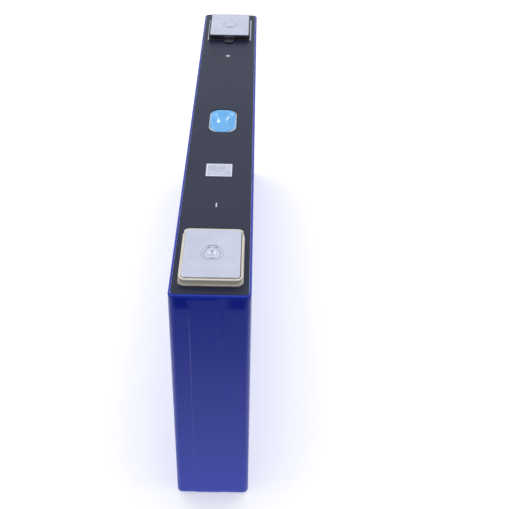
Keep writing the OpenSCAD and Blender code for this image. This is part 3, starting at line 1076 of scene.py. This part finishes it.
def make_can(film):
    """Open box: a section up the outside, over the rim and down the inside, with a fan at both floors."""
    low, high, middle = box("case_can")
    lid_low, _, _ = box("lid_plate")
    bag_low, _, _ = box("insulating_bag")
    wall = lid_low[0] - low[0]
    corner, floor_edge, inner_edge = 1.8 * MM, 12 * MM, 0.3 * MM
    rim_radius = film.fold_radius - film.thickness
    corners = [
        (-floor_edge, low[2], 0),
        (0, low[2], 2 * rim_radius),
        (0, high[2], rim_radius),
        (-wall, high[2], 0),
        (-wall, bag_low[2], inner_edge),
        (-floor_edge, bag_low[2], 0),
    ]
    section = round_corners(corners, steps=5, closed=False)
    places = walk(even_run(9), even_run(40), 8)
    rows = rounded_rows(places, (high - low)[:2], section[:, 0], corner, section[:, 1])
    tips = ((middle[0], middle[1], low[2]), (middle[0], middle[1], bag_low[2]))
    piece("can_drawn", rows, "can_aluminium", "case_can", tips=tips)


class CELL_OT_top(bpy.types.Operator):
    """Makes the vent film and the label, and finishes the cover sheet and the printed marks"""

    bl_idname = "battery_cell.top"
    bl_label = "Cover sheet and vent"

    def execute(self, context):
        dress("cover_sheet", "cover_sheet", 0.06)
        dress("plus_mark", "white_ink", 0.03)
        dress("minus_mark", "white_ink", 0.03)
        make_vent_film(context.scene.cell_top)
        make_label()
        return {"FINISHED"}


def make_vent_film(top):
    """Film that lies flat on its bonded rim and dips inside it, by the sag times (1 - share^2)^1.2.

    The share runs from 0 in the middle to 1 at the inner edge of the rim. The outline is a rounded
    rectangle whose corners move by a distance times the squared sine of twice the angle: in at the two
    towards the negative end, out at the others.
    """
    low, high, middle = box("vent_film")
    size = (high - low)[:2]
    thickness = high[2] - low[2]
    corner, bonded = 4.6 * MM, 0.8 * MM
    grow, corner_fill = 0.2 * MM, 0.25 * MM
    places = walk(even_run(8), even_run(16), 14)
    angle = places[2]
    outline = rounded_rows(places, size, [0.0], corner, [0.0], middle)[0]
    at_corner = np.sin(2 * angle) ** 2
    cut_back = np.where(angle > math.pi, top.corner_cut, -corner_fill) * at_corner - grow
    outline[:, 0] -= cut_back * np.cos(angle)
    outline[:, 1] -= cut_back * np.sin(angle)
    open_share = 1 - bonded / (size[0] / 2)
    share = np.concatenate([np.linspace(0.06, open_share, 16), [0.88, 0.92, 0.96, 0.99]])

    def layer(shares, level):
        """Rows of points at shares of the way to the outline, with the dip and a slight ripple."""
        xy = middle[:2] + (outline[:, :2] - middle[:2])[None] * shares[:, None, None]
        dip = np.clip(1 - (shares / open_share) ** 2, 0, None) ** 1.2
        ripple = 0.003 * MM * np.sin(5 * angle + 9 * shares[:, None]) * (shares[:, None] ** 2)
        ripple = ripple * (shares[:, None] < 0.95)
        z = level - top.vent_sag * dip[:, None] + ripple
        return np.concatenate([xy, np.broadcast_to(z, xy.shape[:2])[..., None]], axis=-1)

    lift, edge_round = 0.01 * MM, 0.04 * MM
    under = layer(share, low[2] + lift)
    edge = np.stack([outline * [1, 1, 0] + [0, 0, z] for z in (low[2] + edge_round, high[2] - edge_round)])
    over = layer(share[::-1], high[2])
    rows = np.concatenate([under, edge, over])
    floor = low[2] - top.vent_sag
    tips = ((middle[0], middle[1], floor), (middle[0], middle[1], floor + thickness))
    film = piece("vent_film_dished", rows, "vent_film", "vent_film", tips=tips, sharp=60)
    light_spots(film)


def light_spots(film):
    """Two rows of small ceiling lamps past the positive end, seen only in the gloss of the vent film."""
    receivers = bpy.data.collections.new("vent_gloss")
    receivers.objects.link(film)
    distance, width, watts = 1.2, 0.035, 0.1
    for side, across in (("left", -0.13), ("right", 0.06)):
        for step in range(3):
            elevation = math.radians(36 + 3 * step)
            place = (across, distance * math.cos(elevation), distance * math.sin(elevation))
            spot = make_lamp(f"spot_{side}_{step}", place, (width, width), watts)
            spot.visible_diffuse = False
            spot.visible_camera = False
            spot.light_linking.receiver_collection = receivers


def make_label():
    """Thin patch: rows step in from the rim to the middle, and the outer ones carry the pale border."""
    low, high, middle = box("code_label")
    inset, border = 3.9 * MM, 0.6 * MM
    section = round_corners(
        [
            (-inset, low[2], 0),
            (0, low[2], 0),
            (0, high[2], 0.04 * MM),
            (0.05 * MM - border, high[2], 0),
            (-0.05 * MM - border, high[2], 0),
            (-inset, high[2], 0),
        ],
        closed=False,
    )
    places = walk(even_run(10), even_run(8), 5)
    rows = rounded_rows(places, (high - low)[:2], section[:, 0], 0.3 * MM, section[:, 1], middle)
    rim = np.broadcast_to((section[:, 0] > -border)[:, None], rows.shape[:2])
    tips = ((middle[0], middle[1], low[2]), (middle[0], middle[1], high[2]))
    piece("label_blank", rows, "label", "code_label", tips=tips, marks={"rim": rim})


# Radii of the riveted pole: its shaft through the lid, its neck through the plate, and its dimple
SHAFT, NECK, DIMPLE = 4.2 * MM, 2.8 * MM, 1.45 * MM


class CELL_OT_terminals(bpy.types.Operator):
    """Makes the two terminal plates with the groove round the pole, and the riveted poles"""

    bl_idname = "battery_cell.terminals"
    bl_label = "Terminal plates and poles"

    def execute(self, context):
        settings = context.scene.cell_terminals
        for end, pole_slot in (("negative", "plated_copper"), ("positive", "terminal_plate")):
            make_plate(end, settings)
            make_pole(end, pole_slot)
            dress(end + "_seal", "seal_rubber")
        return {"FINISHED"}


def make_plate(end, settings):
    """Plate with a bore: a section up the side and over the edge, then rows that turn into circles.

    A row between outline and circle is their mean by a share. Round the pole the plate falls by a smooth
    step from a fine scribed line to the bore. The line's depth goes by exp(-(distance / width)^2). A
    shallow mark of the riveting tool lies towards the vent: a like trench along the edge of an ellipse.
    The scribed line and the bore's edge are painted darker, as painted shade of these recesses, and the
    tool's mark is painted darker as its own tone.
    """
    node = end + "_terminal_plate"
    low, high, middle = box(node)
    inward = 1.0 if end == "negative" else -1.0
    bore = NECK + 0.02 * MM
    scribed = NECK + settings.ring_distance
    far, corner = 5.4 * MM, 1.3 * MM
    scribe_width, rim_width, tool_width = 0.09 * MM, 0.12 * MM, 0.2
    scribe_depth, tool_depth = 0.05 * MM, 0.1 * MM
    tool_place, tool_half = 3.3 * MM, (1.65 * MM, 0.62 * MM)
    top, bottom = high[2], low[2]
    corners = [(-0.3 * MM, bottom, 0), (0, bottom, 0.12 * MM), (0, top, 0.16 * MM), (-0.35 * MM, top, 0)]
    section = round_corners(corners, steps=4, closed=False)
    places = walk(even_run(44), even_run(52), 10)
    centre = middle[:2]
    sides = rounded_rows(places, (high - low)[:2], section[:, 0], corner, section[:, 1], centre)
    towards = directions(sides[-1], centre)
    ring = ring_rows(towards, [far], [top], centre)[0]
    shares = np.array([0.2, 0.4, 0.6, 0.8])[:, None, None]
    between = sides[-1][None] * (1 - shares) + ring[None] * shares
    radii = np.concatenate(
        [
            np.linspace(far, scribed + 0.3 * MM, 6),
            scribed + np.linspace(0.25, -0.25, 11) * MM,
            np.linspace(scribed - 0.3 * MM, bore, 14),
        ]
    )
    scribe = np.exp(-(((radii - scribed) / scribe_width) ** 2))
    slope = settings.groove_depth * (1 - step_up(radii, bore, scribed - bore))
    circles = ring_rows(towards, radii, top - scribe_depth * scribe - slope, centre)
    x = (circles[..., 0] - centre[0]) * inward
    y = (circles[..., 1] - centre[1]) * inward
    away = np.sqrt((x / tool_half[0]) ** 2 + ((y - tool_place) / tool_half[1]) ** 2)
    tool = np.exp(-(((away - 1) / tool_width) ** 2))
    circles[..., 2] -= tool_depth * tool
    shaft = ring_rows(towards, [bore], [bottom], centre)
    rows = np.concatenate([sides, between, circles, shaft])
    # Painted shade: the finish darkens the bore's edge, where shade in the gap round the neck would fall
    rim = np.exp(-(((radii - bore) / rim_width) ** 2))
    trace_and_painted_shade = np.zeros(rows.shape[:2])
    first = len(sides) + len(between)
    # The finish darkens the tool's mark as its own tone, and the scribed line and the bore's edge as painted
    # shade
    trace_and_painted_shade[first : first + len(circles)] = np.maximum(0.9 * tool, (0.75 * scribe + 0.9 * rim)[:, None])
    marks = {"trace_and_painted_shade": trace_and_painted_shade}
    piece(end + "_plate_satin", rows, "terminal_plate", node, closed=True, marks=marks, sharp=28)


def make_pole(end, slot):
    """Turned pole: a section from the foot's middle out, up the shaft and neck, and into the dimple."""
    node = end + "_pole"
    low, high, middle = box(node)
    plate_low, _, _ = box(end + "_terminal_plate")
    foot = (high[0] - low[0]) / 2
    foot_top = low[2] + 1.5 * MM
    dimple_floor = high[2] - 0.8 * MM
    corners = [
        (0.8 * MM, low[2], 0),
        (foot, low[2], 0.2 * MM),
        (foot, foot_top, 0.2 * MM),
        (SHAFT, foot_top, 0),
        (SHAFT, plate_low[2], 0.05 * MM),
        (NECK, plate_low[2], 0),
        (NECK, high[2], 0.3 * MM),
        (DIMPLE, high[2], 0.12 * MM),
        (0.1 * MM, dimple_floor + 0.05 * MM, 0),
    ]
    section = round_corners(corners, steps=4, closed=False)
    rows = ring_rows(round_the_clock(96), section[:, 0], section[:, 1], middle)
    tips = ((middle[0], middle[1], low[2]), (middle[0], middle[1], dimple_floor))
    piece(end + "_pole_riveted", rows, slot, node, tips=tips)


# Along the seats, from the plate's middle: where the cream rim's step towards the vent begins
RIM_STEP = 10.5 * MM


class CELL_OT_seats(bpy.types.Operator):
    """Makes the two moulded seats: the cream tray, and the black one with its notch and tongue"""

    bl_idname = "battery_cell.seats"
    bl_label = "Seats"

    def execute(self, context):
        make_seat("negative", "cream_plastic", rim=0.35 * MM, stepped_from=RIM_STEP, lean=0.14 * MM)
        make_seat("positive", "black_plastic", tongue=True)
        return {"FINISHED"}


def make_seat(end, slot, rim=0.0, stepped_from=-1.0, lean=0.0, tongue=False):
    """Tray under a plate: a section along the underside, round the foot, wall and rim, and back.

    Past stepped_from, towards the vent, nothing stands out sideways beyond the wall. lean shifts the
    opening towards +X, so that the plate lies close to the rim on one side and leaves a gap on the other. A
    tongue is the foot run out towards the vent to a half circle, y = reach + sqrt(r^2 - x^2), and behind it
    the wall's top drops in a notch.
    """
    node = end + "_seat"
    plate_low, plate_high, plate_middle = box(end + "_terminal_plate")
    low, high, _ = box(node)
    inward = 1.0 if end == "negative" else -1.0
    gap, wall, ledge = 0.2 * MM, 0.45 * MM, 0.55 * MM
    corner, bore, under = 1.95 * MM, 4.3 * MM, 1.5 * MM
    tongue_radius, tongue_reach, tongue_lift = 2.3 * MM, 14.6 * MM, 0.3 * MM
    notch_half, notch_depth = 2.62 * MM, 1.3 * MM
    size = (plate_high - plate_low)[:2] + 2 * (gap + wall)
    bottom, top, floor = low[2], high[2], plate_low[2]
    foot_top, rim_under = bottom + 0.8 * MM, top - 0.6 * MM

    corners = [(-under, bottom, 0), (ledge, bottom, 0.06 * MM)]
    corners += [(ledge, foot_top, 0.22 * MM), (0, foot_top, 0.1 * MM)]
    if rim:
        corners += [(0, rim_under, 0.1 * MM), (rim, rim_under, 0.08 * MM), (rim, top, 0.2 * MM)]
    else:
        corners += [(0, top, 0.15 * MM)]
    corners += [(-wall, top, 0.1 * MM), (-wall, floor, 0.1 * MM), (-under, floor, 0)]
    section = round_corners(corners, steps=4, closed=False)

    run_x, run_y = size[0] / 2 - corner, size[1] / 2 - corner
    tip = np.sin(np.linspace(-math.pi / 2, math.pi / 2, 25)) * tongue_radius
    edges = np.array([-2.66, -2.6, -2.34, 2.34, 2.6, 2.66]) * MM
    marks_x = np.concatenate([tip, edges, np.linspace(-run_x, run_x, 16)[1:-1]])
    step_edges = np.array([-0.06, 0.0, 0.06]) * MM + RIM_STEP
    marks_y = np.concatenate([step_edges, np.linspace(-run_y, run_y, 24)[1:-1]])
    shares_x, shares_y = (np.unique(np.round(m, 4)) for m in (marks_x / run_x, marks_y / run_y))
    places = walk(shares_x, shares_y, 8)
    rows = rounded_rows(places, size, section[:, 0], corner, section[:, 1])
    x, y, z = rows[..., 0], rows[..., 1], rows[..., 2]
    half = size[0] / 2
    np.copyto(x, np.clip(x, -half, half), where=y > stepped_from)
    x += inward * lean * (section[:, :1] < -wall / 2)
    if tongue:
        vent_side = (np.abs(places[2] - math.pi / 2) < SQUARE_ON)[None]
        outer = (section[:, 0] > 0.3 * MM)[:, None]
        reach = tongue_reach + np.sqrt(np.clip(tongue_radius**2 - x**2, 0, None))
        on_tongue = vent_side & (np.abs(x) < tongue_radius + 0.01 * MM)
        np.copyto(y, reach + (section[:, :1] - ledge), where=on_tongue & outer)
        foot_surface = (z > bottom + 0.5 * MM) & (z < foot_top + 0.05 * MM)
        np.copyto(z, z + tongue_lift, where=on_tongue & foot_surface)
        wall_top = (z > floor + 0.4 * MM) & vent_side & (np.abs(x) < notch_half)
        np.copyto(z, np.minimum(z, top - notch_depth), where=wall_top)
    rows[..., :2] *= inward
    inner = ring_rows(directions(rows[0]), [bore, bore], [floor, bottom])
    rows = np.concatenate([rows, inner]) + [plate_middle[0], plate_middle[1], 0]
    piece(end + "_seat_moulded", rows, slot, node, closed=True, sharp=34)


class CELL_OT_inside(bpy.types.Operator):
    """Finishes the insulators, collectors, tabs, cores, tapes, bag and support plate inside the can"""

    bl_idname = "battery_cell.inside"
    bl_label = "Inside"

    def execute(self, context):
        dress("negative_collector", "copper", 0.1)
        dress("positive_collector", "foil_aluminium", 0.1)
        for end, slot in (("negative", "copper"), ("positive", "foil_aluminium")):
            dress(end + "_insulator", "insulator_plastic", 0.1)
            dress(end + "_weld_tape", "green_tape")
            for side in ("left", "right"):
                dress(f"{end}_tab_{side}", slot)
        for side in ("left", "right"):
            dress("wound_core_" + side, "separator")
            dress("core_tape_" + side, "green_tape")
        dress("insulating_bag", "bag_film")
        dress("support_plate", "insulator_plastic")
        return {"FINISHED"}


# ---------------------------------------------------------------- panel and registration

GROUPS = {"cell_film": FilmSettings, "cell_top": TopSettings, "cell_terminals": TerminalSettings}
STEPS = (
    CELL_OT_stage,
    CELL_OT_film,
    CELL_OT_can,
    CELL_OT_top,
    CELL_OT_terminals,
    CELL_OT_seats,
    CELL_OT_inside,
)


class CELL_PT_panel(bpy.types.Panel):
    """Lists the cell's settings and the steps that build it"""

    bl_idname = "CELL_PT_panel"
    bl_label = "Prismatic battery cell"
    bl_space_type = "VIEW_3D"
    bl_region_type = "UI"
    bl_category = "Battery cell"

    def draw(self, context):
        for group in GROUPS:
            settings = getattr(context.scene, group)
            column = self.layout.box().column()
            for name in settings.__annotations__:
                column.prop(settings, name)
        column = self.layout.column()
        for step in STEPS:
            column.operator(step.bl_idname)


CLASSES = (*GROUPS.values(), *STEPS, CELL_PT_panel)


def register():
    for each in CLASSES:
        bpy.utils.register_class(each)
    for name, group in GROUPS.items():
        setattr(bpy.types.Scene, name, bpy.props.PointerProperty(type=group))


def unregister():
    for name in GROUPS:
        delattr(bpy.types.Scene, name)
    for each in reversed(CLASSES):
        bpy.utils.unregister_class(each)


def main():
    register()
    for step in STEPS:
        family, name = step.bl_idname.split(".")
        getattr(getattr(bpy.ops, family), name)()


if __name__ == "__main__":
    main()
